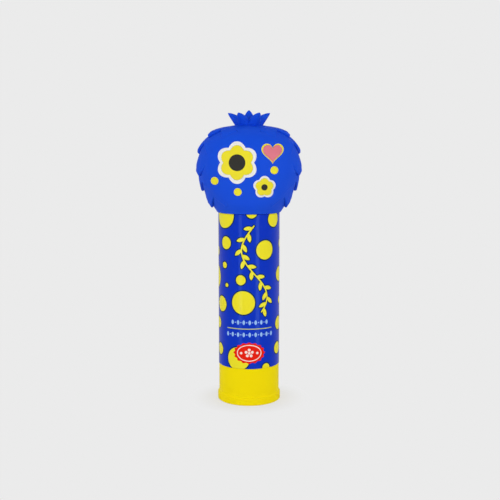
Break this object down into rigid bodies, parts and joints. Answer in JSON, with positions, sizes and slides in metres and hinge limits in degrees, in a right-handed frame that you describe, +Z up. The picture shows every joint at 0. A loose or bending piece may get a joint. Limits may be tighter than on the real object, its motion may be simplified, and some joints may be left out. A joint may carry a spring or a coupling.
{
  "type": "glue stick",
  "caption": "Twist-up glue stick with a dotted blue wrap, a yellow turning base and a pull-off cap inside a soft tufted pom-pom topper.",
  "frame": {"origin": "centre of the foot ring, on the surface that the stick stands on", "axes": "+Z up along the barrel; the front, with the flower, the heart and the blossom, looks along -Y; +X to the right seen from the front"},
  "size_m": [0.0408, 0.0336, 0.1139],
  "materials": {
    "yellow_moulding": "smooth moulded polypropylene, semi-gloss",
    "white_moulding": "satin moulded polypropylene",
    "wrap_film": "glossy printed film, blue with scattered yellow dots",
    "adhesive": "solid glue, waxy off-white",
    "blue_soft": "soft moulded PVC, satin blue",
    "white_soft": "soft PVC pour, white",
    "yellow_soft": "soft PVC pour, yellow",
    "dark_soft": "soft PVC pour, near black",
    "pink_soft": "soft PVC pour, pink"
  },
  "bodies": {
    "barrel": {"barrel": "yellow_moulding", "wrap_label": "wrap_film"},
    "knob": {"turning_knob": "yellow_moulding", "lead_screw": "white_moulding"},
    "carrier": {"glue_carrier": "white_moulding", "glue_block": "adhesive"},
    "cap": {"inner_cap": "white_moulding", "topper": "blue_soft", "flower_rim": "white_soft", "flower_petals": "yellow_soft", "flower_centre": "dark_soft", "blossom_rim": "white_soft", "blossom_petals": "yellow_soft", "blossom_centre": "dark_soft", "heart_rim": "yellow_soft", "heart_fill": "pink_soft", "dot_left": "yellow_soft", "dot_low": "yellow_soft", "dot_right": "yellow_soft"}
  },
  "joints": [
    {"name": "knob_turn", "type": "hinge", "parent": "barrel", "child": "knob", "pos_m": [0, 0, 0], "axis": [0, 0, 1], "range_deg": [0, 3240]},
    {"name": "carrier_rise", "type": "slide", "parent": "barrel", "child": "carrier", "axis": [0, 0, 1], "range_m": [0, 0.054], "deforming": ["glue_block"]},
    {"name": "cap_pull", "type": "slide", "parent": "barrel", "child": "cap", "axis": [0, 0, 1], "range_m": [0, 0.045]}
  ],
  "couplings": [
    {"joint": "carrier_rise", "follows": "knob_turn", "m_per_rad": 0.00095493}
  ]
}
